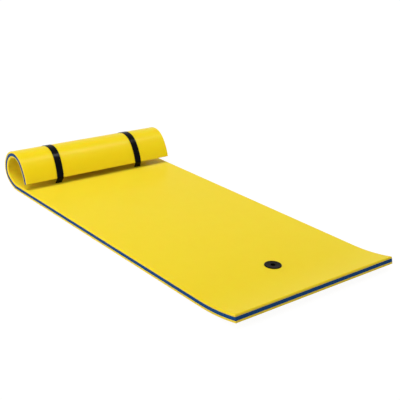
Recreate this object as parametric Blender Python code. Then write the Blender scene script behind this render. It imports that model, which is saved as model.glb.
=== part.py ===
"""Swim float mat: three bonded foam layers whose head end is rolled over into a pillow,
held by two webbing straps, with a grommet near the foot for a tether line.

The mat lies along X with its foot at +X, its pillow at -X and its width along Y. Its underside
rests on z = 0, and the origin is the middle of its bounding box, at the underside.
"""

import math
from collections import namedtuple

import bmesh
import bpy

# All sizes are in metres and all turns in degrees.

# Foam mat: two yellow skins bonded to a blue core.
mat_width = 0.660
mat_thickness = 0.025
skin_thickness = 0.0068
bond_gap = 0.0003
edge_round = 0.0012

# The mat's mid-line, from the foot tip to the lip of the pillow.
foot_curl_radius = 0.665
foot_curl_turn = 13.5
flat_length = 1.117
lift_radius = 0.115
lift_turn = 38.0
heel_radius = 0.047
heel_turn = 60.0
pillow_radius = 0.068
pillow_turn = 132.0
front_radius = 0.190
lip_gap = 0.0185

# Webbing straps, which go through a slot in the mat and round the pillow. The shifts are how far
# each strap has slid to the right of its slot, where it goes over the lip and over the crown.
strap_width = 0.028
strap_thickness = 0.0015
strap_spacing = 0.369
left_lip_shift = -0.0021
left_crown_shift = 0.0076
right_lip_shift = -0.0087
right_crown_shift = -0.0057
strap_press = 0.0005
press_ease_share = 0.7
slot_side_clearance = 0.001
slot_end_clearance = 0.003
slot_set_back = 0.020
slot_bend_radius = 0.003
lip_bend_reach = 0.004

# Hook-and-loop closure on the back of the pillow, and the strap's free end, which peels off.
tape_thickness = 0.0011
tape_margin = 0.0015
loop_tape_length = 0.095
hook_tape_length = 0.046
hook_tape_start = 0.005
tab_length = 0.070
tab_fold_length = 0.016
tab_fold_gap = 0.0006
tab_slope = 52.0
tab_landing = 0.004
raise_length = 0.032

# Grommet: a flange with a barrel, snapped through a backing washer.
flange_radius = 0.0275
flange_thickness = 0.003
flange_round = 0.002
rim_land = 0.0018
dish_slope = 0.0015
dish_depth = 0.0008
bore_radius = 0.0078
bore_round = 0.0012
barrel_wall = 0.0026
washer_radius = 0.023
washer_thickness = 0.0028
snap_lip = 0.0012
snap_height = 0.0012
grommet_margin = 0.0126
grommet_offset = -0.005

# Clearances between pieces, and how far a cutter runs past what it cuts.
seat_gap = 0.0003
cut_overrun = 0.004

# Fineness of the curved faces, and the turn past which an edge is a crease. The channels' facets
# meet a share of a facet further along than those of the foam.
facet_turn = 5.0
crease_turn = 35.0
least_facet_share = 0.001
channel_phase_share = 0.5
edge_steps = 2
bend_steps = 5
end_steps = 3
round_steps = 3
turned_steps = 48

Arc = namedtuple("Arc", "start length radius x z heading")


def clear_scene():
    for old in list(bpy.data.objects):
        bpy.data.objects.remove(old, do_unlink=True)


def make_material(name, colour, roughness):
    material = bpy.data.materials.new(name)
    material.use_nodes = True
    shader = material.node_tree.nodes["Principled BSDF"]
    shader.inputs["Base Color"].default_value = (*colour, 1)
    shader.inputs["Roughness"].default_value = roughness
    shader.inputs["Metallic"].default_value = 0
    material.diffuse_color = (*colour, 1)
    return material


def along(start, angle, distance):
    return start[0] + distance * math.cos(angle), start[1] + distance * math.sin(angle)


def ease(share):
    share = min(max(share, 0), 1)
    return share * share * (3 - 2 * share)


class Midline:
    """The mat's mid-line in the XZ plane: arcs and one straight run, each tangent to the next.
    It turns clockwise, so the outer face of the roll lies to the left of the way it runs."""

    def __init__(self, x, z, heading):
        self.arcs = []
        self.end = Arc(0, 0, 0, x, z, heading)

    def add_run(self, length):
        e = self.end
        self.arcs.append(e._replace(length=length, radius=0))
        x, z = along((e.x, e.z), e.heading, length)
        self.end = Arc(e.start + length, 0, 0, x, z, e.heading)

    def add_arc(self, radius, turn):
        e = self.end
        self.arcs.append(e._replace(length=radius * turn, radius=radius))
        x = e.x + radius * (math.sin(e.heading) - math.sin(e.heading - turn))
        z = e.z + radius * (math.cos(e.heading - turn) - math.cos(e.heading))
        self.end = Arc(e.start + radius * turn, 0, 0, x, z, e.heading - turn)

    def arc_at(self, s):
        found = self.arcs[0]
        for arc in self.arcs:
            if arc.start <= s:
                found = arc
        return found

    def heading(self, s):
        arc = self.arc_at(s)
        return arc.heading - (s - arc.start) / arc.radius if arc.radius else arc.heading

    def point(self, s, offset):
        """The point at length s along the line, moved by offset towards the roll's outer face."""
        arc = self.arc_at(s)
        heading = self.heading(s)
        if arc.radius:
            x = arc.x + arc.radius * (math.sin(arc.heading) - math.sin(heading))
            z = arc.z + arc.radius * (math.cos(heading) - math.cos(arc.heading))
        else:
            x, z = along((arc.x, arc.z), heading, s - arc.start)
        return x - offset * math.sin(heading), z + offset * math.cos(heading)

    def stations(self, low, high, phase_share=0):
        """Lengths from low to high, with the shared facet joints of the line between them, each
        moved on by a share of a facet."""
        joints = []
        for arc in self.arcs:
            turn = math.degrees(arc.length / arc.radius) if arc.radius else 0
            count = max(1, math.ceil(turn / facet_turn))
            joints += [arc.start + arc.length * (i + phase_share) / count for i in range(count)]
        spare = (high - low) * least_facet_share
        return [low] + [s for s in joints if low + spare < s < high - spare] + [high]

    def walk_back(self, s, length, offset):
        """The place on the line that lies a length nearer the foot, measured at this offset."""
        for arc in reversed(self.arcs):
            if s <= arc.start:
                continue
            stretch = 1 + offset / arc.radius if arc.radius else 1
            room = (s - arc.start) * stretch
            if length <= room:
                return s - length / stretch
            length -= room
            s = arc.start
        return s


def lay_midline():
    curl = math.radians(foot_curl_turn)
    tip_x = foot_curl_radius * math.sin(curl)
    tip_z = mat_thickness / 2 + foot_curl_radius * (1 - math.cos(curl))
    line = Midline(tip_x, tip_z, math.pi + curl)
    line.add_arc(foot_curl_radius, curl)
    line.add_run(flat_length)
    line.add_arc(lift_radius, math.radians(lift_turn))
    line.add_arc(heel_radius, math.radians(heel_turn))
    line.add_arc(pillow_radius, math.radians(pillow_turn))
    # The front panel runs down until the lip's inner corner is lip_gap above the mat.
    heading = line.end.heading
    centre_z = line.end.z - front_radius * math.cos(heading)
    inner_radius = front_radius - mat_thickness / 2
    lip_heading = -math.acos((mat_thickness + lip_gap - centre_z) / inner_radius)
    line.add_arc(front_radius, heading - lip_heading)
    return line


def new_object(name, mesh, material, parent):
    mesh.materials.append(material)
    mesh.shade_smooth()
    mesh.set_sharp_from_angle(angle=math.radians(crease_turn))
    obj = bpy.data.objects.new(name, mesh)
    bpy.context.scene.collection.objects.link(obj)
    obj.parent = parent
    return obj


def finished_mesh(name, bm):
    bmesh.ops.recalc_face_normals(bm, faces=bm.faces)
    mesh = bpy.data.meshes.new(name)
    bm.to_mesh(mesh)
    bm.free()
    return mesh


def skin_rings(bm, rings):
    """Joins rings of vertices one after another and closes both ends."""
    for first, second in zip(rings, rings[1:]):
        count = len(first)
        for i in range(count):
            j = (i + 1) % count
            bm.faces.new((first[i], first[j], second[j], second[i]))
    bm.faces.new(rings[0])
    bm.faces.new(rings[-1])


def foam_layer(name, line, inner, outer, soft_faces, material, parent):
    """A sheet of foam between two offsets of the mid-line. The borders of its soft faces, named by
    their offsets, are rounded a little, and those of its bonded faces stay sharp."""
    bm = bmesh.new()
    weight = bm.edges.layers.float.new("bevel_weight_edge")
    half = mat_width / 2
    rings = []
    for s in line.stations(0, line.end.start):
        corners = [(-half, inner), (half, inner), (half, outer), (-half, outer)]
        places = [(line.point(s, offset), y) for y, offset in corners]
        rings.append([bm.verts.new((p[0], y, p[1])) for p, y in places])
    skin_rings(bm, rings)
    for face in soft_faces:
        left, right = (0, 1) if face == inner else (3, 2)
        border = [(ring[left], ring[right]) for ring in (rings[0], rings[-1])]
        for first, second in zip(rings, rings[1:]):
            border += [(first[k], second[k]) for k in (left, right)]
        for pair in border:
            bm.edges.get(pair)[weight] = 1
    obj = new_object(name, finished_mesh(name, bm), material, parent)
    if soft_faces:
        bevel = obj.modifiers.new("Soft border", "BEVEL")
        bevel.limit_method = "WEIGHT"
        bevel.width = edge_round
        bevel.segments = edge_steps
    return obj


def strip_mesh(name, path, halves, width, shoulder):
    """A flat strip of this width along a path in the XZ plane. halves holds half its thickness
    at each point, and shoulder is how far its long edges are rounded in."""
    bm = bmesh.new()
    rings = []
    for i, (point, half) in enumerate(zip(path, halves)):
        before = path[max(i - 1, 0)]
        after = path[min(i + 1, len(path) - 1)]
        into = math.atan2(point[1] - before[1], point[0] - before[0])
        out = math.atan2(after[1] - point[1], after[0] - point[0])
        if i == 0:
            into = out
        if i == len(path) - 1:
            out = into
        bend = math.remainder(out - into, math.tau)
        side = into + bend / 2 - math.pi / 2
        reach = half / math.cos(bend / 2)
        y, x = width / 2, width / 2 - shoulder
        low = reach / 2 if shoulder else reach
        outline = [(-y, -low), (-x, -reach), (x, -reach), (y, -low)]
        outline += [(y, low), (x, reach), (-x, reach), (-y, low)]
        if not shoulder:
            outline = [outline[k] for k in (0, 3, 4, 7)]
        places = [(across, along(point, side, up)) for across, up in outline]
        rings.append([bm.verts.new((p[0], across, p[1])) for across, p in places])
    skin_rings(bm, rings)
    return finished_mesh(name, bm)


def bend_points(start, corner, end):
    """A smooth bend from start to end, drawn towards the corner."""
    points = []
    for i in range(bend_steps + 1):
        t = i / bend_steps
        shares = ((1 - t) ** 2, 2 * t * (1 - t), t * t)
        points.append(tuple(sum(w * p[k] for w, p in zip(shares, (start, corner, end))) for k in (0, 1)))
    return points


class Strap:
    """The places that all the pieces of one strap share, in the XZ plane."""

    def __init__(self, line):
        self.line = line
        half = strap_thickness / 2
        face = mat_thickness / 2
        self.flush = face - half
        self.seated = face - strap_press + seat_gap + half
        self.loop_tape = self.seated + half + seat_gap + tape_thickness / 2
        self.hook_tape = self.loop_tape + tape_thickness + seat_gap
        self.tab = self.hook_tape + tape_thickness / 2 + seat_gap + half
        self.lip_s = line.end.start
        flat = line.arcs[1]
        self.lift_s = flat.start + flat.length
        self.ease_length = line.arcs[2].length * press_ease_share
        self.slot_x = line.point(self.lip_s, face)[0] - slot_set_back
        self.slot_s = flat.start + flat.x - self.slot_x
        pillow = line.arcs[4]
        self.hinge_s = pillow.start + pillow.radius * (pillow.heading - math.radians(tab_slope))
        self.hinge = line.point(self.hinge_s, self.tab)
        self.low_end_s = self.hinge_s + tab_landing
        self.lip = line.point(self.lip_s, face)
        self.crown = line.point(pillow.start + pillow.radius * pillow.heading, face)

    def shift_at(self, x, z, lip_shift, crown_shift):
        """How far a strap has slid to the right of its slot at a place. It slides evenly up the back
        to the crown, and in front first up to the lip and then up to the crown."""
        crown_z = self.crown[1]
        z = min(max(z, mat_thickness), crown_z)
        if x < self.crown[0]:
            return crown_shift * (z - mat_thickness) / (crown_z - mat_thickness)
        lip_z = self.lip[1]
        if z < lip_z:
            return lip_shift * (z - mat_thickness) / (lip_z - mat_thickness)
        return lip_shift + (crown_shift - lip_shift) * (z - lip_z) / (crown_z - lip_z)

    def slide(self, mesh, shifts, origin=(0, 0)):
        """Slides a strip, modelled about an origin, to where its strap lies. It stays as wide."""
        for v in mesh.vertices:
            v.co.y += self.shift_at(v.co.x + origin[0], v.co.z + origin[1], *shifts)

    def hugging(self, s):
        """Flush with the floor under the mat, then out of its pressed channel round the roll."""
        return self.flush + (self.seated - self.flush) * ease((s - self.lift_s) / self.ease_length)

    def landing(self, s):
        """Down from the top of the closure to the foam, going over the crown."""
        share = (s - self.hinge_s) / raise_length
        return self.tab + (self.seated - self.tab) * ease(share)

    def stretch(self, high, low, offset_at, phase_share=0):
        places = reversed(self.line.stations(low, high, phase_share))
        return [self.line.point(s, offset_at(s)) for s in places]

    def rise_to_lip(self):
        """Up out of the slot, and back over the lip of the pillow."""
        top = (self.slot_x, mat_thickness)
        lip = self.line.point(self.lip_s, self.seated)
        slope = math.atan2(lip[1] - top[1], lip[0] - top[0])
        below = (self.slot_x, mat_thickness - slot_bend_radius)
        above = along(top, slope, slot_bend_radius)
        before_lip = along(lip, slope, -lip_bend_reach)
        after_lip = self.line.point(self.lip_s - lip_bend_reach, self.seated)
        return bend_points(below, top, above) + bend_points(before_lip, lip, after_lip)

    def turn_into_slot(self):
        """From under the mat up into the slot."""
        low = mat_thickness / 2 - self.flush
        points = []
        for i in range(bend_steps + 1):
            a = math.pi / 2 * i / bend_steps
            x = self.slot_x - slot_bend_radius * (1 - math.sin(a))
            points.append((x, low + slot_bend_radius * (1 - math.cos(a))))
        return points

    def under_start_s(self):
        return self.slot_s + slot_bend_radius

    def webbing_path(self):
        low_end = self.stretch(self.low_end_s, self.under_start_s(), self.hugging)
        over = self.stretch(self.lip_s - lip_bend_reach, self.hinge_s + raise_length, self.hugging)
        clear_of_hinge = self.hinge_s + strap_thickness / 2 + seat_gap
        down = self.stretch(self.hinge_s + raise_length, clear_of_hinge, self.landing)
        return low_end[:-1] + self.turn_into_slot() + self.rise_to_lip() + over[1:] + down[1:]

    def channel_path(self):
        """All the way round the pillow, from the slot back into the slot. Its facets meet part way
        along those of the foam, so that no edge of one lies on an edge of the other."""
        high, low = self.lip_s - lip_bend_reach, self.under_start_s()
        round_roll = self.stretch(high, low, self.hugging, channel_phase_share)
        start = (self.slot_x, mat_thickness - 2 * slot_bend_radius)
        return [start] + self.rise_to_lip() + round_roll[1:-1] + self.turn_into_slot()

    def tape_path(self, start, length, offset):
        end = self.line.walk_back(start, length, offset)
        return self.stretch(start, end, lambda s: offset)

    def tab_path(self):
        """From the hinge down the back, and folded over outwards at the free end."""
        half = strap_thickness / 2
        end_s = self.line.walk_back(self.hinge_s, tab_length, self.tab)
        path = self.stretch(self.hinge_s, end_s, lambda s: self.tab)
        halves = [half] * len(path)
        back = self.line.heading(self.hinge_s)
        for i in range(end_steps, 0, -1):
            a = math.pi / 2 * i / (end_steps + 1)
            path.insert(end_steps - i, along(self.hinge, back, half * math.sin(a)))
            halves.insert(end_steps - i, half * math.cos(a))
        fold = (strap_thickness + tab_fold_gap) / 2
        heading = self.line.heading(end_s)
        centre = self.line.point(end_s, self.tab + fold)
        for i in range(1, 2 * end_steps):
            a = heading - math.pi / 2 - math.pi * i / (2 * end_steps)
            path.append(along(centre, a, fold))
        folded = self.tab + 2 * fold
        fold_s = self.line.walk_back(end_s, -tab_fold_length, folded)
        path += [self.line.point(s, folded) for s in self.line.stations(end_s, fold_s)]
        halves += [half] * (len(path) - len(halves))
        return path, halves


def lathe(name, profile, material, parent):
    """Turns a closed outline of (radius, height) points about the upright axis."""
    bm = bmesh.new()
    verts = [bm.verts.new((radius, 0, height)) for radius, height in profile]
    edges = [bm.edges.new((v, verts[i - 1])) for i, v in enumerate(verts)]
    bmesh.ops.spin(bm, geom=verts + edges, cent=(0, 0, 0), axis=(0, 0, 1), angle=math.tau,
                   steps=turned_steps, use_merge=True, use_normal_flip=False)
    return new_object(name, finished_mesh(name, bm), material, parent)


def rounded_corner(centre, radius, first, last):
    """Points round a corner of a turned outline, between two directions in degrees."""
    turns = [math.radians(first + (last - first) * i / round_steps) for i in range(round_steps + 1)]
    return [along(centre, turn, radius) for turn in turns]


def flange_profile():
    """The grommet's dished flange, its barrel and the snap lip at the barrel's foot. Height 0 is
    the underside of the mat."""
    face = mat_thickness + seat_gap
    crest = face + flange_thickness
    barrel = bore_radius + barrel_wall
    floor = crest - dish_depth
    rim = (flange_radius - flange_round, crest - flange_round)
    land = rim[0] - rim_land
    mouth = (bore_radius + bore_round, floor - bore_round)
    profile = [(barrel, face), (flange_radius, face)]
    profile += rounded_corner(rim, flange_round, 0, 90)
    profile += [(land, crest), (land - dish_slope, floor)]
    profile += rounded_corner(mouth, bore_round, 90, 180)
    profile += [(bore_radius, seat_gap), (barrel + snap_lip, seat_gap)]
    profile += [(barrel + snap_lip, snap_height / 2), (barrel, snap_height)]
    return profile


def washer_profile():
    """The backing washer, with a countersink that takes the barrel's snap lip."""
    bore = bore_radius + barrel_wall + seat_gap
    low = seat_gap / 2
    sink = snap_height + seat_gap
    mouth = bore + snap_lip + seat_gap
    return [(mouth, low), (washer_radius, low), (washer_radius, washer_thickness),
            (bore, washer_thickness), (bore, sink), (mouth, sink - snap_height / 2)]


def cutter(name, mesh, parent):
    obj = bpy.data.objects.new(name, mesh)
    bpy.context.scene.collection.objects.link(obj)
    obj.parent = parent
    obj.hide_render = True
    obj.display_type = "WIRE"
    return obj


def cylinder_cutter(name, radius, low, high, parent):
    bm = bmesh.new()
    bmesh.ops.create_cone(bm, cap_ends=True, segments=turned_steps, radius1=radius, radius2=radius,
                          depth=high - low)
    bmesh.ops.translate(bm, verts=bm.verts, vec=(0, 0, (low + high) / 2))
    return cutter(name, finished_mesh(name, bm), parent)


def slot_cutter(name, parent):
    """A die-cut slot with round ends, right through the mat."""
    radius = strap_thickness / 2 + slot_side_clearance
    reach = strap_width / 2 + slot_end_clearance - radius
    bm = bmesh.new()
    outline = []
    for end in (1, -1):
        for i in range(bend_steps + 1):
            a = math.pi * i / bend_steps
            spot = (end * radius * math.cos(a), end * (reach + radius * math.sin(a)))
            outline.append(bm.verts.new((*spot, -cut_overrun)))
    base = bm.faces.new(outline)
    raised = bmesh.ops.extrude_face_region(bm, geom=[base])["geom"]
    top = [v for v in raised if isinstance(v, bmesh.types.BMVert)]
    bmesh.ops.translate(bm, verts=top, vec=(0, 0, mat_thickness + 2 * cut_overrun))
    return cutter(name, finished_mesh(name, bm), parent)


def cut(obj, tools):
    for tool in tools:
        boolean = obj.modifiers.new(tool.name, "BOOLEAN")
        boolean.operation = "DIFFERENCE"
        boolean.object = tool


def hinge_empty(name, place, parent):
    empty = bpy.data.objects.new(name, None)
    bpy.context.scene.collection.objects.link(empty)
    empty.parent = parent
    empty.location = place
    return empty


def build_strap(side, y, shifts, strap, webbing, tape, parent):
    """One strap with its closure, and the cutters for its slot and its pressed channel."""
    half = strap_thickness / 2
    shoulder = half
    tape_width = strap_width - 2 * tape_margin

    path = strap.webbing_path()
    mesh = strip_mesh(f"{side}_strap", path, [half] * len(path), strap_width, shoulder)
    strap.slide(mesh, shifts)
    new_object(f"{side}_strap", mesh, webbing, parent).location.y = y

    path = strap.tape_path(strap.low_end_s, loop_tape_length, strap.loop_tape)
    mesh = strip_mesh(f"{side}_loop_patch", path, [tape_thickness / 2] * len(path), tape_width, 0)
    strap.slide(mesh, shifts)
    new_object(f"{side}_loop_patch", mesh, tape, parent).location.y = y

    hinge = hinge_empty(f"{side}_tab_hinge", (strap.hinge[0], y, strap.hinge[1]), parent)
    path, halves = strap.tab_path()
    path = [(x - strap.hinge[0], z - strap.hinge[1]) for x, z in path]
    mesh = strip_mesh(f"{side}_tab", path, halves, strap_width, shoulder)
    strap.slide(mesh, shifts, strap.hinge)
    new_object(f"{side}_tab", mesh, webbing, hinge)

    start = strap.line.walk_back(strap.hinge_s, hook_tape_start, strap.hook_tape)
    path = strap.tape_path(start, hook_tape_length, strap.hook_tape)
    path = [(x - strap.hinge[0], z - strap.hinge[1]) for x, z in path]
    mesh = strip_mesh(f"{side}_hook_patch", path, [tape_thickness / 2] * len(path), tape_width, 0)
    strap.slide(mesh, shifts, strap.hinge)
    new_object(f"{side}_hook_patch", mesh, tape, hinge)

    path = strap.channel_path()
    name = f"{side}_channel_cutter"
    mesh = strip_mesh(name, path, [half + seat_gap] * len(path), strap_width + 2 * seat_gap, 0)
    strap.slide(mesh, shifts)
    channel = cutter(name, mesh, parent)
    channel.location.y = y
    slot = slot_cutter(f"{side}_slot_cutter", parent)
    slot.location = (strap.slot_x, y, 0)
    return channel, slot


def build_grommet(material, parent):
    """The two halves of the grommet, and the cutters for its hole and its washer's recess."""
    place = (-(flange_radius + grommet_margin), grommet_offset, 0)
    lathe("grommet_flange", flange_profile(), material, parent).location = place
    lathe("grommet_washer", washer_profile(), material, parent).location = place
    hole_radius = bore_radius + barrel_wall + seat_gap
    past = mat_thickness + cut_overrun
    hole = cylinder_cutter("grommet_hole_cutter", hole_radius, -cut_overrun, past, parent)
    deep = washer_thickness + seat_gap
    recess = cylinder_cutter("washer_recess_cutter", washer_radius + seat_gap, -cut_overrun, deep, parent)
    hole.location = place
    recess.location = place
    return hole, recess


def main():
    clear_scene()
    yellow = make_material("yellow foam", (0.88, 0.66, 0.04), 0.75)
    blue = make_material("blue foam", (0.010, 0.045, 0.17), 0.8)
    webbing = make_material("black webbing", (0.012, 0.012, 0.014), 0.6)
    tape = make_material("hook and loop tape", (0.02, 0.02, 0.022), 0.9)
    plastic = make_material("black grommet plastic", (0.015, 0.016, 0.018), 0.45)

    line = lay_midline()
    strap = Strap(line)

    # The parent empty moves the whole mat so that the middle of its length is at x = 0.
    foot_x = line.point(0, mat_thickness / 2)[0]
    outline = strap.webbing_path() + strap.tab_path()[0]
    back_x = min(x for x, z in outline) - strap_thickness / 2
    mat = bpy.data.objects.new("float_mat", None)
    bpy.context.scene.collection.objects.link(mat)
    mat.location.x = -(foot_x + back_x) / 2

    face = mat_thickness / 2
    bond = face - skin_thickness
    core = bond - bond_gap
    top = foam_layer("top_layer", line, -face, -bond, [-face], yellow, mat)
    middle = foam_layer("core_layer", line, -core, core, [], blue, mat)
    base = foam_layer("base_layer", line, bond, face, [face], yellow, mat)

    hole, recess = build_grommet(plastic, mat)
    slots = []
    channels = []
    slides = (("left", -1, (left_lip_shift, left_crown_shift)),
              ("right", 1, (right_lip_shift, right_crown_shift)))
    for side, sign, shifts in slides:
        y = sign * strap_spacing / 2
        channel, slot = build_strap(side, y, shifts, strap, webbing, tape, mat)
        channels.append(channel)
        slots.append(slot)
    cut(top, [hole] + slots)
    cut(middle, [hole] + slots)
    cut(base, [hole, recess] + slots + channels)


main()
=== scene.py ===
"""Swim float mat with a rolled pillow: the finished look of each piece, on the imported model."""

import math

import bmesh
import bpy
from mathutils import Matrix, Vector


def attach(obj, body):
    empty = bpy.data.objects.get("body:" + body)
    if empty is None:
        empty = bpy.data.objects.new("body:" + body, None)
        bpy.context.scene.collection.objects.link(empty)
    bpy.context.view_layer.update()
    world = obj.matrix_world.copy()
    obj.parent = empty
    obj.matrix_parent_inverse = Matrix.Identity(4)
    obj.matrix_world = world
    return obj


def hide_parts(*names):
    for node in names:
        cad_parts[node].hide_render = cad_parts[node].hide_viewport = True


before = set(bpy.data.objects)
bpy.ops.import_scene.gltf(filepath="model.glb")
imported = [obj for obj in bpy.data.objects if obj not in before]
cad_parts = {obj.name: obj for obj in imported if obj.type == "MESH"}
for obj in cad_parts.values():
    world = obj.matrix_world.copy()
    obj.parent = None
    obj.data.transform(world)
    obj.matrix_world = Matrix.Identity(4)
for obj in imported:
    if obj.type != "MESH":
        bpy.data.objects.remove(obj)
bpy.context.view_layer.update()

# Top layer: the yellow face that one lies on, 6.8 mm of closed-cell polyethylene foam. It is die-cut
# from flat sheet and rolled up at the head with the other two, so there it is the inside of the
# pillow. The cut draws its skin down, so its upper border is rounded.
mat_width = 0.660
mat_thickness = 0.025
skin_thickness = 0.0068
top_round = 0.0045
foot_bend_x = 0.5341013
head_bend_x = -0.5828987
foot_curl_radius = 0.665
foot_curl_turn = math.radians(13.5)
foot_cuts = 19
head_cuts = 13
mid = mat_thickness / 2

# The bends of the rolled head, from the flat up the back and over the crown, as mid-line radius and
# turn. The front panel is a fourth bend, down to the lip.
bends = [(0.115, math.radians(38)), (0.047, math.radians(60)), (0.068, math.radians(132))]
front_radius = 0.190
lip_height = 0.0185


def on_roll(beyond, height):
    """Where a place of the flat sheet lands once the head is rolled up. beyond is its distance past
    the end of the flat, and height is how far it is above the mid-line, the pillow's inner side."""
    x = head_bend_x - min(beyond, 0)
    z = mid
    heading = math.pi
    left = max(beyond, 0)
    for radius, turn in bends:
        part = min(left / radius, turn)
        x += radius * (math.sin(heading) - math.sin(heading - part))
        z += radius * (math.cos(heading - part) - math.cos(heading))
        heading -= part
        left -= part * radius
    return Vector((x + height * math.sin(heading), z - height * math.cos(heading)))


# The front panel runs on down until its inner corner is the lip's height above the flat.
roll_length = sum(radius * turn for radius, turn in bends)
front_heading = math.pi - sum(turn for radius, turn in bends)
centre_z = on_roll(roll_length, 0).y - front_radius * math.cos(front_heading)
lip_heading = -math.acos((mat_thickness + lip_height - centre_z) / (front_radius - mid))
bends.append((front_radius, front_heading - lip_heading))
roll_length += front_radius * (front_heading - lip_heading)

foot_tip_x = foot_bend_x + foot_curl_radius * foot_curl_turn
lip_x = head_bend_x - roll_length


def pick(test, kind="faces"):
    """In edit mode, selects the faces, edges or vertices that pass the test, and nothing else."""
    modes = {"faces": (False, False, True), "edges": (False, True, False), "verts": (True, False, False)}
    bpy.context.tool_settings.mesh_select_mode = modes[kind]
    bpy.ops.mesh.select_all(action="DESELECT")
    mesh = bpy.context.object.data
    bm = bmesh.from_edit_mesh(mesh)
    for part in getattr(bm, kind):
        if test(part):
            part.select_set(True)
    bm.select_flush_mode()
    bmesh.update_edit_mesh(mesh)


def middle(part):
    """The middle of an edge or a face."""
    return sum((v.co for v in part.verts), Vector()) / len(part.verts)


def runs_along_x(edge):
    """True for an edge that lies along the mat, or along a tape."""
    a, b = (v.co for v in edge.verts)
    return abs(a.x - b.x) > 0.9 * (a - b).length


def add_box(name, low, high):
    """A box primitive between two corners, as its own object in edit mode."""
    bpy.ops.object.select_all(action="DESELECT")
    low, high = Vector(low), Vector(high)
    bpy.ops.mesh.primitive_cube_add(size=1, location=(low + high) / 2, scale=high - low)
    bpy.ops.object.transform_apply(location=True, rotation=True, scale=True)
    bpy.context.object.name = name
    bpy.context.object.data.name = name
    bpy.ops.object.mode_set(mode="EDIT")
    return bpy.context.object


def cut_across(places, normal):
    """In edit mode, cuts the whole mesh at these places along the normal."""
    for place in places:
        bpy.ops.mesh.select_all(action="SELECT")
        bpy.ops.mesh.bisect(plane_co=Vector(normal) * place, plane_no=normal)


def take_away(piece, cutter):
    """Cuts the shape of the cutter out of a piece, in object mode."""
    boolean = piece.modifiers.new("Cut", "BOOLEAN")
    boolean.operation = "DIFFERENCE"
    boolean.solver = "EXACT"
    boolean.object = cutter
    bpy.context.view_layer.objects.active = piece
    bpy.ops.object.modifier_apply(modifier="Cut")
    bpy.data.objects.remove(cutter)


def flat_sheet(name, low, high, soft_side=None, rounding=0):
    """One layer of foam as it is cut from flat sheet, between two heights. Where one of its faces
    has a rounded border, soft_side is the height of that face, and rounding is by how much."""
    sheet = add_box(name, (lip_x, -mat_width / 2, low), (foot_tip_x, mat_width / 2, high))
    if soft_side is not None:
        pick(lambda edge: all(abs(v.co.z - soft_side) < 1e-6 for v in edge.verts), "edges")
        bpy.ops.mesh.bevel(offset=rounding, segments=5, profile=0.5, affect="EDGES")
    cut_across([head_bend_x, foot_bend_x], (1, 0, 0))
    bpy.ops.object.mode_set(mode="OBJECT")
    return sheet


def divide(sheet, across=(), along=()):
    """Divides the two ends of a flat sheet finely enough to be bent, and cuts the whole of it at
    these places across and along it."""
    bpy.context.view_layer.objects.active = sheet
    bpy.ops.object.mode_set(mode="EDIT")
    cut_across(across, (1, 0, 0))
    cut_across(along, (0, 1, 0))
    for _ in range(2):
        pick(lambda edge: runs_along_x(edge) and middle(edge).x < head_bend_x, "edges")
        bpy.ops.mesh.subdivide(number_cuts=head_cuts)
    pick(lambda edge: runs_along_x(edge) and middle(edge).x > foot_bend_x, "edges")
    bpy.ops.mesh.subdivide(number_cuts=foot_cuts)
    bpy.ops.object.mode_set(mode="OBJECT")


def roll_up(piece):
    """Rolls the head of a flat piece into the pillow and curls up its foot, in object mode."""
    for v in piece.data.vertices:
        if v.co.x < head_bend_x:
            x, z = on_roll(head_bend_x - v.co.x, v.co.z - mid)
            v.co = (x, v.co.y, z)
        elif v.co.x > foot_bend_x:
            turn = (v.co.x - foot_bend_x) / foot_curl_radius
            reach = foot_curl_radius + mid - v.co.z
            v.co = (foot_bend_x + reach * math.sin(turn), v.co.y,
                    foot_curl_radius + mid - reach * math.cos(turn))
    piece.data.update()


def colour(code):
    """An sRGB hex colour, as the linear values that a socket takes."""
    parts = [int(code[i:i + 2], 16) / 255 for i in (1, 3, 5)]
    return (*[c / 12.92 if c <= 0.04045 else ((c + 0.055) / 1.055) ** 2.4 for c in parts], 1)


def new_finish(name, **sockets):
    """A material, with the sockets of its Principled shader set."""
    material = bpy.data.materials.new(name)
    material.use_nodes = True
    shader = material.node_tree.nodes["Principled BSDF"]
    for socket, value in sockets.items():
        shader.inputs[socket.replace("_", " ")].default_value = value
    return material


def add_node(material, kind, inputs, **settings):
    """Adds a node with its settings, and gives each input a value or links it to an output."""
    made = material.node_tree.nodes.new(kind)
    for name, value in settings.items():
        setattr(made, name, value)
    for name, value in inputs.items():
        if isinstance(value, bpy.types.NodeSocket):
            material.node_tree.links.new(value, made.inputs[name])
        else:
            made.inputs[name].default_value = value
    return made


def wire(material, output, socket):
    """Links an output to a socket of the material's shader."""
    shader = material.node_tree.nodes["Principled BSDF"]
    material.node_tree.links.new(output, shader.inputs[socket])


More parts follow.
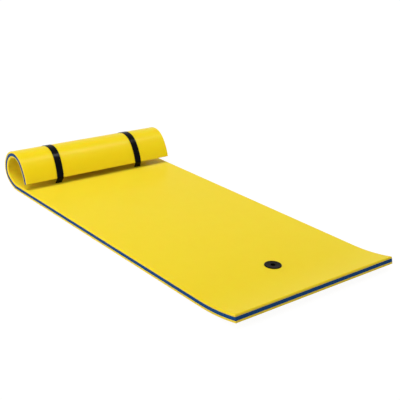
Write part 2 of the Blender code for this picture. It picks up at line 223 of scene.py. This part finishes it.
def foam_skin(name, plain, deep, gloss, dust, rough):
    """Cross-linked polyethylene foam with its moulded skin: satin, with a fine pebble from the cells
    under it, and slow waves where the sheet was bonded. The cells are 0.5 mm and are drawn at 1.5.
    gloss, dust and rough are its specular level, its sheen and its middle roughness."""
    material = new_finish(name, IOR=1.5, Specular_IOR_Level=gloss, Subsurface_Weight=0.3,
                          Subsurface_Radius=(1, 0.4, 0.1), Subsurface_Scale=0.006, Sheen_Weight=dust)
    place = add_node(material, "ShaderNodeTexCoord", {}).outputs["Object"]
    blotch = add_node(material, "ShaderNodeTexNoise", {"Vector": place, "Scale": 1 / 0.045, "Detail": 3})
    pebble = add_node(material, "ShaderNodeTexNoise", {"Vector": place, "Scale": 1 / 0.0015, "Detail": 2})
    wave = add_node(material, "ShaderNodeTexNoise", {"Vector": place, "Scale": 1 / 0.14, "Detail": 1})
    tone = add_node(material, "ShaderNodeMix", {"Factor": blotch.outputs["Fac"], "A": colour(plain),
                    "B": colour(deep)}, data_type="RGBA")
    dull = add_node(material, "ShaderNodeMapRange", {"Value": blotch.outputs["Fac"], "From Min": 0.3,
                    "From Max": 0.7, "To Min": rough - 0.02, "To Max": rough + 0.02})
    slow = add_node(material, "ShaderNodeBump", {"Height": wave.outputs["Fac"], "Strength": 1,
                    "Distance": 0.0006})
    fine = add_node(material, "ShaderNodeBump", {"Height": pebble.outputs["Fac"], "Strength": 0.5,
                    "Distance": 0.00012, "Normal": slow.outputs["Normal"]})
    wire(material, tone.outputs["Result"], "Base Color")
    wire(material, dull.outputs["Result"], "Roughness")
    wire(material, fine.outputs["Normal"], "Normal")
    return material


def foam_cut(name, plain, deep):
    """The same foam where a knife cut it: the open cells scatter the light, so it is dull, and a
    little paler than the skin. The cells are drawn at 1 mm."""
    material = new_finish(name, Roughness=0.8, IOR=1.5, Specular_IOR_Level=0.1)
    place = add_node(material, "ShaderNodeTexCoord", {}).outputs["Object"]
    cells = add_node(material, "ShaderNodeTexVoronoi", {"Vector": place, "Scale": 1 / 0.001})
    blotch = add_node(material, "ShaderNodeTexNoise", {"Vector": place, "Scale": 1 / 0.02, "Detail": 3})
    tone = add_node(material, "ShaderNodeMix", {"Factor": blotch.outputs["Fac"], "A": colour(plain),
                    "B": colour(deep)}, data_type="RGBA")
    bump = add_node(material, "ShaderNodeBump", {"Height": cells.outputs["Distance"], "Strength": 0.6,
                    "Distance": 0.0002})
    wire(material, tone.outputs["Result"], "Base Color")
    wire(material, bump.outputs["Normal"], "Normal")
    return material


yellow_skin = foam_skin("Polyethylene foam skin yellow", "#EBD028", "#E9CD24", 0.02, 0.02, 0.3)
yellow_cut = foam_cut("Polyethylene foam cut edge yellow", "#E7CC40", "#E2C234")


def finish_foam(piece, skin, cut):
    """Gives a flat layer its finishes, the skin on its faces and the cut one on its four edges."""
    piece.data.materials.append(skin)
    piece.data.materials.append(cut)
    for face in piece.data.polygons:
        at_end = face.center.x > foot_tip_x - 0.003 or face.center.x < lip_x + 0.0015
        if abs(face.normal.y) > 0.9 or (at_end and abs(face.normal.x) > 0.9):
            face.material_index = 1


# The strap slots and the grommet's hole, die-cut through all three layers. Pieces that are fitted
# into each other have 0.3 mm of air between them.
air = 0.0003
strap_width = 0.028
strap_thickness = 0.0015
strap_ys = {"left": -0.1845, "right": 0.1845}
slot_x = -0.5234382
slot_width = strap_thickness + 0.002
slot_length = strap_width + 0.006
grommet_x = 0.4940013
grommet_y = -0.005
barrel_radius = 0.0104
cutter_reach = 0.004


def hole_cutter(radius, high):
    """What the die takes out at the grommet: a round hole of this radius, from below up to here."""
    low = -cutter_reach
    bpy.ops.object.select_all(action="DESELECT")
    bpy.ops.mesh.primitive_cylinder_add(vertices=96, radius=radius, depth=high - low,
                                        location=(grommet_x, grommet_y, (low + high) / 2))
    bpy.ops.object.transform_apply(location=True, rotation=True, scale=True)
    return bpy.context.object


def slot_cutters():
    """What the die takes out for the two straps: slots with round ends."""
    made = []
    for side, y in strap_ys.items():
        half = Vector((slot_width / 2, slot_length / 2, 0))
        centre = Vector((slot_x, y, 0))
        slot = add_box(f"{side}_slot", centre - half - Vector((0, 0, cutter_reach)),
                       centre + half + Vector((0, 0, mat_thickness + cutter_reach)))
        pick(lambda edge: abs(edge.verts[0].co.z - edge.verts[1].co.z) > 0.01, "edges")
        bpy.ops.mesh.bevel(offset=slot_width / 2.02, segments=5, profile=0.5, affect="EDGES")
        bpy.ops.object.mode_set(mode="OBJECT")
        made.append(slot)
    return made


def die_cut(piece):
    """Cuts the grommet's hole and both slots out of a layer."""
    take_away(piece, hole_cutter(barrel_radius + air, mat_thickness + cutter_reach))
    for slot in slot_cutters():
        take_away(piece, slot)


def smooth(piece):
    """Smooth shading that stays flat on the large flat faces and sharp at the cut edges."""
    piece.data.shade_smooth()
    piece.data.set_sharp_from_angle(angle=math.radians(40))
    weights = piece.modifiers.new("Flat faces first", "WEIGHTED_NORMAL")
    weights.keep_sharp = True
    bpy.context.view_layer.objects.active = piece
    bpy.ops.object.modifier_apply(modifier="Flat faces first")


def settle(piece, body, slot, *nodes):
    """Smooths a finished piece, hangs it on what it rides on, and hides the nodes it stands for. slot, the
    slot of its finish, is not used.
    """
    smooth(piece)
    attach(piece, body)
    if nodes:
        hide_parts(*nodes)


# The roll is laid in after the finishes, because the flat sheet's edges are told apart by place.
top_sheet = flat_sheet("top_foam", mat_thickness - skin_thickness, mat_thickness, mat_thickness, top_round)
die_cut(top_sheet)
divide(top_sheet)
finish_foam(top_sheet, yellow_skin, yellow_cut)
roll_up(top_sheet)
settle(top_sheet, "mat", "yellow_foam", "top_layer")

# Core layer: the dark blue middle of the sandwich, 11.3 mm of the same foam. It has no skin of its
# own, is bonded between the other two, and shows only as a stripe along the four cut edges.
blue_cut = foam_cut("Polyethylene foam cut edge blue", "#0E457C", "#0C3C6E")
bond = 0.00005
core_sheet = flat_sheet("core_foam", skin_thickness + bond, mat_thickness - skin_thickness - bond)
die_cut(core_sheet)
divide(core_sheet)
finish_foam(core_sheet, blue_cut, blue_cut)
roll_up(core_sheet)
settle(core_sheet, "mat", "blue_foam", "core_layer")

# Base layer: the yellow layer underneath, which becomes the outside of the pillow. The straps press
# into it: flush under the flat, where the mat lies on them, and half a millimetre round the roll.
# The grommet's washer sits in a round recess.
border_round = 0.0012
press_depth = 0.0005
under_depth = 0.0018
shoulder_width = 0.006
bed_end = slot_x + 0.006
bed_ramp = 0.004
first_bend, second_bend = [radius * turn for radius, turn in bends[:2]]
crown_radius = bends[2][0]
lift_length = first_bend * 0.7
washer_radius = 0.023
washer_thickness = 0.0028


def ease(share):
    """A smooth way from 0 to 1."""
    share = min(max(share, 0), 1)
    return share * share * (3 - 2 * share)


# How far each strap has slid to the right of its slot, where it goes over the lip and the crown.
slides = {"left": (-0.0021, 0.0076), "right": (-0.0087, -0.0057)}
lip = on_roll(roll_length, -mid)
crown = on_roll(first_bend + second_bend + crown_radius * math.radians(82), -mid)


def slide(side, spot):
    """How far a strap has slid at a place of the roll: evenly up the back to the crown, and in front
    first up to the lip and then up to the crown."""
    at_lip, at_crown = slides[side]
    height = min(max(spot.y, mat_thickness), crown.y)
    if spot.x < crown.x:
        return at_crown * (height - mat_thickness) / (crown.y - mat_thickness)
    if height < lip.y:
        return at_lip * (height - mat_thickness) / (lip.y - mat_thickness)
    return at_lip + (at_crown - at_lip) * (height - lip.y) / (crown.y - lip.y)


def press(piece):
    """Presses the straps' beds into the underside of the flat sheet, with soft shoulders, and lets
    the lines that were cut along the sheet slide with the straps. Its long borders stay."""
    for v in piece.data.vertices:
        if abs(v.co.y) > mat_width / 2 - 0.01:
            continue
        side = "left" if v.co.y < 0 else "right"
        beyond = head_bend_x - v.co.x
        if v.co.z < 0.0004:
            away = abs(v.co.y - strap_ys[side]) - strap_width / 2 - air
            across = 1 - ease(away / shoulder_width)
            along = ease((bed_end - v.co.x) / bed_ramp)
            depth = under_depth + (press_depth - under_depth) * ease(beyond / lift_length)
            v.co.z += across * along * depth
        if beyond > 0:
            v.co.y += slide(side, on_roll(beyond, -mid))


# The underside has the smoother skin, so it takes a soft band of light over the crown.
under_skin = foam_skin("Polyethylene foam underskin yellow", "#EBD00C", "#E9CD08", 0.13, 0.02, 0.36)
base_sheet = flat_sheet("base_foam", 0, skin_thickness, 0, border_round)
die_cut(base_sheet)
take_away(base_sheet, hole_cutter(washer_radius + air, washer_thickness + air))
shoulders = [strap_width / 2 + air + shoulder_width * share for share in (0, 0.15, 0.35, 0.6, 0.8, 1)]
divide(base_sheet, [bed_end - bed_ramp * share for share in (1, 0.75, 0.375, 0)],
       [y + side * reach for y in strap_ys.values() for side in (1, -1) for reach in shoulders])
finish_foam(base_sheet, under_skin, yellow_cut)
press(base_sheet)
roll_up(base_sheet)
settle(base_sheet, "mat", "yellow_foam", "base_layer")

# Straps: black polypropylene webbing, 28 mm wide, woven flat with a firm selvedge. Each comes up
# through its slot, goes over the lip and round the pillow, and is closed on the back of the roll.
half = strap_thickness / 2
seated = mid - press_depth + air + half
flush = mid - half
hinge_beyond = first_bend + second_bend + crown_radius * math.radians(30)
tape_thickness = 0.0011
loop_offset = seated + half + air + tape_thickness / 2
hook_offset = loop_offset + tape_thickness + air
tab_offset = hook_offset + tape_thickness / 2 + air + half
raise_length = 0.032
overlap = 0.004
step = 0.0025


def stretch(first, last, offset_at):
    """Points beside the roll, between two distances past the flat, at the offset outside its
    mid-line that offset_at gives for each."""
    count = max(2, round(abs(last - first) / step))
    places = [first + (last - first) * i / count for i in range(count + 1)]
    return [on_roll(place, -offset_at(place)) for place in places]


def bend(start, corner, end):
    """A smooth bend drawn towards a corner."""
    shares = [i / 8 for i in range(9)]
    return [start * (1 - t) ** 2 + corner * 2 * t * (1 - t) + end * t * t for t in shares]


def hugging(place):
    """How far outside the mid-line a strap lies: flush under the mat, and on the foam round it."""
    return flush + (seated - flush) * ease(place / lift_length)


def landing(place):
    """The same where a strap rises over the tapes to meet its free end."""
    return tab_offset + (seated - tab_offset) * ease((place - hinge_beyond) / raise_length)


def strap_line():
    """The strap's own mid-line: from its lower end on the back of the roll, under the mat, up
    through the slot, over the lip and the crown, and down to where the free end starts."""
    turn = 0.003
    line = stretch(hinge_beyond + overlap, 0, hugging)
    line.append(Vector((slot_x - turn - 0.02, half)))
    for i in range(9):
        a = math.pi / 2 * i / 8
        line.append(Vector((slot_x - turn * (1 - math.sin(a)), half + turn * (1 - math.cos(a)))))
    mouth = Vector((slot_x, mat_thickness))
    over = on_roll(roll_length, -seated)
    way = (over - mouth).normalized()
    line += bend(mouth - Vector((0, turn)), mouth, mouth + way * turn)
    line += bend(over - way * 0.004, over, on_roll(roll_length - 0.004, -seated))
    line += stretch(roll_length - 0.004, hinge_beyond + raise_length, hugging)[1:]
    line += stretch(hinge_beyond + raise_length, hinge_beyond + half + air, landing)[1:]
    return line


def lengths_along(line):
    """How far along the line each of its points is."""
    found = [0]
    for a, b in zip(line, line[1:]):
        found.append(found[-1] + (b - a).length)
    return found


def lay_along(piece, line, side):
    """Lays a straight piece along a strap's line: x is the length along it, and z the height above
    it, on the side that faces the foam."""
    lengths = lengths_along(line)
    ups = []
    for i in range(len(line)):
        a, b = line[max(i - 1, 0)], line[min(i + 1, len(line) - 1)]
        into = (line[i] - a).normalized() if i else (b - line[i]).normalized()
        out = (b - line[i]).normalized() if i < len(line) - 1 else into
        up = Vector((-(into + out).y, (into + out).x)).normalized()
        ups.append(up / max(up.dot(Vector((-into.y, into.x))), 0.5))
    for v in piece.data.vertices:
        k = max(i for i in range(len(line) - 1) if i == 0 or lengths[i] <= v.co.x + 1e-7)
        t = (v.co.x - lengths[k]) / (lengths[k + 1] - lengths[k])
        spot = line[k].lerp(line[k + 1], t) + ups[k].lerp(ups[k + 1], t) * v.co.z
        v.co = (spot.x, v.co.y + strap_ys[side] + slide(side, spot), spot.y)
    piece.data.update()


def flat_tape(name, line, width, thickness, edge):
    """A straight length of webbing or tape, as long as the line, with a cross-cut at each of the
    line's points. Its long edges are rounded, and its UV map is its flat size in metres."""
    lengths = lengths_along(line)
    tape = add_box(name, (0, -width / 2, -thickness / 2), (lengths[1], width / 2, thickness / 2))
    pick(runs_along_x, "edges")
    bpy.ops.mesh.bevel(offset=edge, segments=3, profile=0.6, affect="EDGES")
    pick(lambda face: face.normal.x > 0.9)
    for a, b in zip(lengths[1:], lengths[2:]):
        bpy.ops.mesh.extrude_region_move(TRANSFORM_OT_translate={"value": (b - a, 0, 0)})
    bpy.ops.object.mode_set(mode="OBJECT")
    uv = tape.data.uv_layers.new(name="flat") if not tape.data.uv_layers else tape.data.uv_layers[0]
    for loop in tape.data.loops:
        v = tape.data.vertices[loop.vertex_index].co
        uv.data[loop.index].uv = (v.x, v.y)
    return tape


def woven(name, plain, thread):
    """Polypropylene webbing: a tight plain weave of smooth flat yarn, so the light runs along it in
    a soft band. A rib is 1.6 mm from the next, and a warp yarn 0.9 mm wide."""
    rib_pitch = 0.0016
    yarn_width = 0.0009
    material = new_finish(name, Roughness=0.22, IOR=1.49, Specular_IOR_Level=0.046)
    place = add_node(material, "ShaderNodeUVMap", {}, uv_map="flat").outputs["UV"]
    split = add_node(material, "ShaderNodeSeparateXYZ", {"Vector": place})
    half_rib = add_node(material, "ShaderNodeMath", {0: split.outputs["X"], 1: 2 * math.pi / rib_pitch},
                        operation="MULTIPLY")
    yarn = add_node(material, "ShaderNodeMath", {0: split.outputs["Y"], 1: math.pi / yarn_width},
                    operation="MULTIPLY")
    turned = add_node(material, "ShaderNodeMath", {0: yarn.outputs[0]}, operation="SINE")
    side = add_node(material, "ShaderNodeMath", {0: turned.outputs[0]}, operation="SIGN")
    shift = add_node(material, "ShaderNodeMath", {0: side.outputs[0], 1: math.pi / 2},
                     operation="MULTIPLY")
    phase = add_node(material, "ShaderNodeMath", {0: half_rib.outputs[0], 1: shift.outputs[0]},
                     operation="ADD")
    rib = add_node(material, "ShaderNodeMath", {0: phase.outputs[0]}, operation="SINE")
    crown = add_node(material, "ShaderNodeMath", {0: turned.outputs[0]}, operation="ABSOLUTE")
    height = add_node(material, "ShaderNodeMath", {0: rib.outputs[0], 1: crown.outputs[0]},
                      operation="MULTIPLY")
    share = add_node(material, "ShaderNodeMapRange", {"Value": height.outputs[0], "From Min": -1,
                     "From Max": 1, "To Min": 0, "To Max": 1})
    tone = add_node(material, "ShaderNodeMix", {"Factor": share.outputs["Result"], "A": colour(plain),
                    "B": colour(thread)}, data_type="RGBA")
    bump = add_node(material, "ShaderNodeBump", {"Height": height.outputs[0], "Strength": 0.6,
                    "Distance": 0.00003})
    wire(material, tone.outputs["Result"], "Base Color")
    wire(material, bump.outputs["Normal"], "Normal")
    return material


webbing = woven("Polypropylene webbing black", "#010102", "#030406")

line = strap_line()
for side in strap_ys:
    strap = flat_tape(f"{side}_webbing", line, strap_width, strap_thickness, 0.0006)
    strap.data.materials.append(webbing)
    lay_along(strap, line, side)
    settle(strap, "mat", "webbing", f"{side}_strap")

# Loop tape: the soft half of the closure, 95 mm of napped nylon, sewn round its border on the
# strap's lower end, on the back of the roll.
tape_width = strap_width - 0.003
loop_length = 0.095


def back_line(first, length, offset):
    """Points down the back of the roll from a distance past the flat, for a length measured at
    this offset outside its mid-line."""
    points = [on_roll(first, -offset)]
    place = first
    gone = 0
    while gone < length - 1e-6:
        place -= 0.0002
        after = on_roll(place, -offset)
        stride = (after - points[-1]).length
        if stride >= step or gone + stride >= length:
            points.append(after)
            gone += stride
    return points


def napped(name, plain, fuzz):
    """Knitted nylon tape with a brushed pile of loops: matt and dusty, with tufts 1.4 mm apart."""
    material = new_finish(name, Roughness=0.9, Specular_IOR_Level=0.15, Sheen_Weight=0.1)
    place = add_node(material, "ShaderNodeUVMap", {}, uv_map="flat").outputs["UV"]
    tufts = add_node(material, "ShaderNodeTexVoronoi", {"Vector": place, "Scale": 1 / 0.0014})
    pile = add_node(material, "ShaderNodeTexNoise", {"Vector": place, "Scale": 1 / 0.0004, "Detail": 3})
    both = add_node(material, "ShaderNodeMath", {0: tufts.outputs["Distance"], 1: pile.outputs["Fac"]},
                    operation="ADD")
    tone = add_node(material, "ShaderNodeMix", {"Factor": pile.outputs["Fac"], "A": colour(plain),
                    "B": colour(fuzz)}, data_type="RGBA")
    bump = add_node(material, "ShaderNodeBump", {"Height": both.outputs[0], "Strength": 0.8,
                    "Distance": 0.0003})
    wire(material, tone.outputs["Result"], "Base Color")
    wire(material, bump.outputs["Normal"], "Normal")
    return material


loop_pile = napped("Nylon loop tape black", "#0C0C0E", "#1D1D20")
loop_line = back_line(hinge_beyond + overlap, loop_length, loop_offset)
for side in strap_ys:
    loops = flat_tape(f"{side}_loop_tape", loop_line, tape_width, tape_thickness, 0.0003)
    loops.data.materials.append(loop_pile)
    lay_along(loops, loop_line, side)
    settle(loops, "mat", "loop_tape", f"{side}_loop_patch")

# Stitching: black bonded polyester thread, 3 stitches to the centimetre, in a box round each tape.
# Each stitch is its own short arch of thread.
thread_radius = 0.00025
stitch_length = 0.0026
stitch_pitch = 0.0033
thread = new_finish("Bonded polyester thread black", Roughness=0.4, Specular_IOR_Level=0.15)
place = add_node(thread, "ShaderNodeTexCoord", {}).outputs["Object"]
twist = add_node(thread, "ShaderNodeTexNoise", {"Vector": place, "Scale": 1 / 0.0005, "Detail": 1})
tone = add_node(thread, "ShaderNodeMix", {"Factor": twist.outputs["Fac"], "A": colour("#101013"),
                "B": colour("#2B2B30")}, data_type="RGBA")
wire(thread, tone.outputs["Result"], "Base Color")


def seam(start, end, face):
    """A row of stitches from one place on a flat tape to another, at the height of its face. Both
    ends of a stitch go down into the tape."""
    bpy.ops.object.select_all(action="DESELECT")
    bpy.ops.mesh.primitive_cylinder_add(vertices=6, radius=thread_radius, depth=stitch_length,
                                        location=(0, 0, 0), rotation=(0, math.pi / 2, 0))
    bpy.ops.object.transform_apply(location=True, rotation=True, scale=True)
    row = bpy.context.object
    bpy.ops.object.mode_set(mode="EDIT")
    cut_across([-stitch_length / 5, stitch_length / 5], (1, 0, 0))
    pick(lambda v: abs(v.co.x) > 0.4 * stitch_length, "verts")
    bpy.ops.transform.translate(value=(0, 0, -1.2 * thread_radius * math.copysign(1, face)))
    bpy.ops.object.mode_set(mode="OBJECT")
    start, end = Vector(start), Vector(end)
    count = max(2, round((end - start).length / stitch_pitch))
    copies = row.modifiers.new("Row", "ARRAY")
    copies.count = count
    copies.use_relative_offset = False
    copies.use_constant_offset = True
    copies.constant_offset_displace = ((end - start).length / count, 0, 0)
    bpy.context.view_layer.objects.active = row
    bpy.ops.object.modifier_apply(modifier="Row")
    turn = Matrix.Rotation(math.atan2((end - start).y, (end - start).x), 4, "Z")
    first = start + (end - start) / count / 2
    row.data.transform(Matrix.Translation((first.x, first.y, face)) @ turn)
    return row


def box_seam(name, low, high, face, crossed=False):
    """Stitches round a rectangle of a flat tape, and from corner to corner where it is crossed."""
    a, b, c, d = low, (high[0], low[1]), high, (low[0], high[1])
    rows = [seam(*pair, face) for pair in ((a, b), (b, c), (c, d), (d, a))]
    if crossed:
        rows += [seam(a, c, face), seam(b, d, face)]
    bpy.ops.object.select_all(action="DESELECT")
    for row in rows:
        row.select_set(True)
    bpy.context.view_layer.objects.active = rows[0]
    bpy.ops.object.join()
    rows[0].name = name
    rows[0].data.name = name
    rows[0].data.materials.append(thread)
    return rows[0]


seam_y = tape_width / 2 - 0.0018
for side in strap_ys:
    low, high = (0.002, -seam_y), (loop_length - 0.002, seam_y)
    sewn = box_seam(f"{side}_loop_stitches", low, high, -tape_thickness / 2)
    lay_along(sewn, loop_line, side)
    settle(sewn, "mat", "webbing")

# Free end: the last 70 mm of the strap, which peels off the loop tape as a tab. Its end is folded
# over and sewn, to give the fingers a hold.
tab_length = 0.070
fold_gap = 0.0006
fold_steps = 7


def tab_line():
    """Down the back from the strap's end, round the fold, and a little way up again."""
    line = stretch(hinge_beyond + half + air - 0.00004, hinge_beyond, lambda place: tab_offset)
    down = back_line(hinge_beyond, tab_length, tab_offset)
    line += down[1:]
    end = line[-1]
    back = (line[-1] - line[-2]).normalized()
    out = Vector((back.y, -back.x))
    reach = (strap_thickness + fold_gap) / 2
    for i in range(1, 9):
        a = math.pi * i / 8
        line.append(end + out * reach * (1 - math.cos(a)) + back * reach * math.sin(a))
    for p, q in zip(reversed(down[-fold_steps - 1:-1]), reversed(down[-fold_steps:])):
        run = (q - p).normalized()
        line.append(p + Vector((run.y, -run.x)) * 2 * reach)
    return line


free_line = tab_line()
for side in strap_ys:
    tab = flat_tape(f"{side}_pull_tab", free_line, strap_width, strap_thickness, 0.0006)
    tab.data.materials.append(webbing)
    lay_along(tab, free_line, side)
    settle(tab, f"{side}_free_end", "webbing", f"{side}_tab")

# Hook tape: the other half of the closure, 46 mm of stiff nylon hooks, sewn to the inner face of the
# tab. The tab's seams follow it: a box round the tape, and a crossed box that holds the fold.
hook_length = 0.046
hook_start = 0.0049
hook_pile = napped("Nylon hook tape black", "#0A0A0C", "#151517")
hook_line = back_line(hinge_beyond - hook_start, hook_length, hook_offset)
for side in strap_ys:
    hooks = flat_tape(f"{side}_hook_tape", hook_line, tape_width, tape_thickness, 0.0003)
    hooks.data.materials.append(hook_pile)
    lay_along(hooks, hook_line, side)
    settle(hooks, f"{side}_free_end", "hook_tape", f"{side}_hook_patch")

for side in strap_ys:
    sewn = box_seam(f"{side}_hook_stitches", (0.007, -seam_y), (0.05, seam_y), -half)
    lay_along(sewn, free_line, side)
    settle(sewn, f"{side}_free_end", "webbing")
    sewn = box_seam(f"{side}_fold_stitches", (0.0765, -0.0095), (0.0865, 0.0095), half, crossed=True)
    lay_along(sewn, free_line, side)
    settle(sewn, f"{side}_free_end", "webbing")

# Grommet: two halves of black moulded nylon, snapped together through the mat, for a tether line.
# The flange has a rounded rim and a shallow dish, and its barrel goes down into the washer, which
# backs it underneath.
flange_radius = 0.0275
bore_radius = 0.0078
rim_width = 0.0038
dish_slope = 0.0015
dish_depth = 0.0008
lead_in = 0.0012
dish_width = flange_radius - rim_width - dish_slope - lead_in - bore_radius


def moulded(name, plain, light):
    """Moulded nylon from a fine spark-eroded tool: satin, with a grain of 0.4 mm drawn at 0.8."""
    material = new_finish(name, Roughness=0.35, IOR=1.53, Specular_IOR_Level=0.024)
    place = add_node(material, "ShaderNodeTexCoord", {}).outputs["Object"]
    grain = add_node(material, "ShaderNodeTexNoise", {"Vector": place, "Scale": 1 / 0.0008, "Detail": 2})
    tone = add_node(material, "ShaderNodeMix", {"Factor": grain.outputs["Fac"], "A": colour(plain),
                    "B": colour(light)}, data_type="RGBA")
    bump = add_node(material, "ShaderNodeBump", {"Height": grain.outputs["Fac"], "Strength": 0.4,
                    "Distance": 0.00005})
    wire(material, tone.outputs["Result"], "Base Color")
    wire(material, bump.outputs["Normal"], "Normal")
    return material


nylon = moulded("Moulded nylon black", "#0A0806", "#120F0A")


def disc(name, radius, low, high):
    """A disc at the grommet, in edit mode."""
    bpy.ops.object.select_all(action="DESELECT")
    bpy.ops.mesh.primitive_cylinder_add(vertices=96, radius=radius, depth=high - low,
                                        location=(grommet_x, grommet_y, (low + high) / 2))
    bpy.ops.object.transform_apply(location=True, rotation=True, scale=True)
    bpy.context.object.name = name
    bpy.context.object.data.name = name
    bpy.ops.object.mode_set(mode="EDIT")
    return bpy.context.object


def move_up(height):
    """Moves what is selected up, or down where the height is less than nothing."""
    bpy.ops.transform.translate(value=(0, 0, height))


def step_in(width):
    """Insets the selected faces by a width."""
    bpy.ops.mesh.inset(thickness=width, use_even_offset=True)


def off_axis(v):
    """How far a vertex is from the grommet's axis."""
    return (v.co.xy - Vector((grommet_x, grommet_y))).length


def drill(radius):
    """Joins the two round faces that end a bore, above and below, into its wall."""
    pick(lambda face: abs(face.normal.z) > 0.9 and face.calc_area() > 3.0 * radius ** 2
         and all(off_axis(v) < radius * 1.01 for v in face.verts))
    bpy.ops.mesh.bridge_edge_loops()


def round_off(radius, height, offset, segments):
    """Rounds the circle of edges at this radius and height."""
    pick(lambda edge: all(abs(off_axis(v) - radius) < 1e-5 and abs(v.co.z - height) < 1e-5
                          for v in edge.verts), "edges")
    bpy.ops.mesh.bevel(offset=offset, segments=segments, profile=0.5, affect="EDGES")


flange_low = mat_thickness + air
crest = flange_low + 0.003
flange = disc("grommet_top", flange_radius, flange_low, crest)
pick(lambda face: face.normal.z > 0.9)
step_in(rim_width)
step_in(dish_slope)
move_up(-dish_depth)
step_in(dish_width)
step_in(lead_in)
move_up(-lead_in)
pick(lambda face: face.normal.z < -0.9)
step_in(flange_radius - barrel_radius)
bpy.ops.mesh.extrude_region_move(TRANSFORM_OT_translate={"value": (0, 0, air - flange_low)})
step_in(barrel_radius - bore_radius)
drill(bore_radius)
round_off(flange_radius, crest, 0.002, 6)
round_off(bore_radius + lead_in, crest - dish_depth, 0.0006, 4)
bpy.ops.object.mode_set(mode="OBJECT")
flange.data.materials.append(nylon)
settle(flange, "mat", "grommet_plastic", "grommet_flange")

washer_low = air / 2
washer = disc("grommet_backing", washer_radius, washer_low, washer_thickness)
for up in (1, -1):
    pick(lambda face: face.normal.z * up > 0.9)
    step_in(washer_radius - barrel_radius - air)
drill(barrel_radius + air)
round_off(washer_radius, washer_low, 0.0008, 4)
bpy.ops.object.mode_set(mode="OBJECT")
washer.data.materials.append(nylon)
settle(washer, "mat", "grommet_plastic", "grommet_washer")

# Studio: a plain pale floor, and soft boxes above the mat, on both its sides and before its foot. To
# the camera, and in reflections, the floor and the world are white. Round the mat a tenth of the
# floor is lit paper, which keeps the mat's shadow.
bpy.ops.object.select_all(action="DESELECT")
bpy.ops.mesh.primitive_plane_add(size=60, location=(0, 0, -air))
floor = bpy.context.object
floor.name = "floor"
paper = bpy.data.materials.new("White sweep")
paper.use_nodes = True
paper.node_tree.nodes.clear()


def seen_directly(tree):
    """1 for what the camera sees, also in a reflection and through clear things, and 0 for light."""
    rays = add_node(tree, "ShaderNodeLightPath", {}).outputs
    seen = add_node(tree, "ShaderNodeMath", {0: rays["Is Camera Ray"], 1: rays["Is Glossy Ray"]},
                    operation="MAXIMUM")
    seen = add_node(tree, "ShaderNodeMath", {0: seen.outputs[0], 1: rays["Is Transmission Ray"]},
                    operation="MAXIMUM")
    return seen.outputs[0]


lit = add_node(paper, "ShaderNodeBsdfDiffuse", {"Color": (0.8, 0.8, 0.8, 1)})
white = add_node(paper, "ShaderNodeEmission", {"Color": (1, 1, 1, 1), "Strength": 1.05})
place = add_node(paper, "ShaderNodeTexCoord", {}).outputs["Object"]
away = add_node(paper, "ShaderNodeVectorMath", {0: place}, operation="LENGTH")
share = add_node(paper, "ShaderNodeMapRange", {"Value": away.outputs["Value"], "From Min": 1,
                 "From Max": 2.5, "To Min": 0.9, "To Max": 1})
part_white = add_node(paper, "ShaderNodeMath", {0: seen_directly(paper), 1: share.outputs["Result"]},
                      operation="MULTIPLY")
mixed = add_node(paper, "ShaderNodeMixShader", {0: part_white.outputs[0], 1: lit.outputs[0],
                 2: white.outputs[0]})
add_node(paper, "ShaderNodeOutputMaterial", {"Surface": mixed.outputs[0]})
floor.data.materials.append(paper)

world = bpy.data.worlds.new("Studio")
bpy.context.scene.world = world
world.use_nodes = True
world.node_tree.nodes.clear()
dim = add_node(world, "ShaderNodeBackground", {"Color": (1, 1, 1, 1), "Strength": 0.15})
white = add_node(world, "ShaderNodeBackground", {"Color": (1, 1, 1, 1), "Strength": 1})
mixed = add_node(world, "ShaderNodeMixShader", {0: seen_directly(world), 1: dim.outputs[0],
                 2: white.outputs[0]})
add_node(world, "ShaderNodeOutputWorld", {"Surface": mixed.outputs[0]})


def soft_light(name, place, aim, width, height, watts):
    """A soft box that faces a point."""
    bpy.ops.object.light_add(type="AREA", location=place)
    lamp = bpy.context.object
    lamp.name = name
    lamp.data.shape = "RECTANGLE"
    lamp.data.size = width
    lamp.data.size_y = height
    lamp.data.energy = watts
    lamp.rotation_mode = "QUATERNION"
    lamp.rotation_quaternion = (Vector(aim) - Vector(place)).to_track_quat("-Z", "Y")


soft_light("Softbox", (0.32, 1.5, 2.9), (-0.3, 0, 0), 0.7, 0.7, 34)
soft_light("Overhead", (-0.7, -1.2, 2.8), (-0.3, 0, 0), 1.2, 1.2, 41)
soft_light("Left", (0.6, -2.7, 1.7), (-0.1, 0, 0), 1.4, 1.4, 22)
soft_light("Low left", (-0.4, -2.6, 0.6), (-0.4, 0, 0), 1.0, 1.0, 22)
soft_light("Foot", (3.4, 0.3, 1.0), (0, 0, 0), 1.6, 1.6, 17)
soft_light("Right", (-0.4, 2.6, 0.8), (-0.3, 0, 0), 1.2, 1.2, 19)

# Camera: where the photograph was taken from, found from the mat's own outline. The place is in
# metres, and the lens in millimetres on a 36 mm wide frame.
bpy.ops.object.camera_add(location=(2.06348, -1.60515, 1.08200))
camera = bpy.context.object
camera.data.sensor_width = 36
camera.data.lens = 71.37
camera.data.clip_end = 100
azimuth, elevation, roll = math.radians(50.441), math.radians(20.879), math.radians(2.314)
look = Matrix.Rotation(azimuth, 4, "Z") @ Matrix.Rotation(math.pi / 2 - elevation, 4, "X")
camera.rotation_mode = "QUATERNION"
camera.rotation_quaternion = (look @ Matrix.Rotation(roll, 4, "Z")).to_quaternion()
bpy.context.scene.camera = camera
bpy.context.scene.view_settings.view_transform = "Standard"
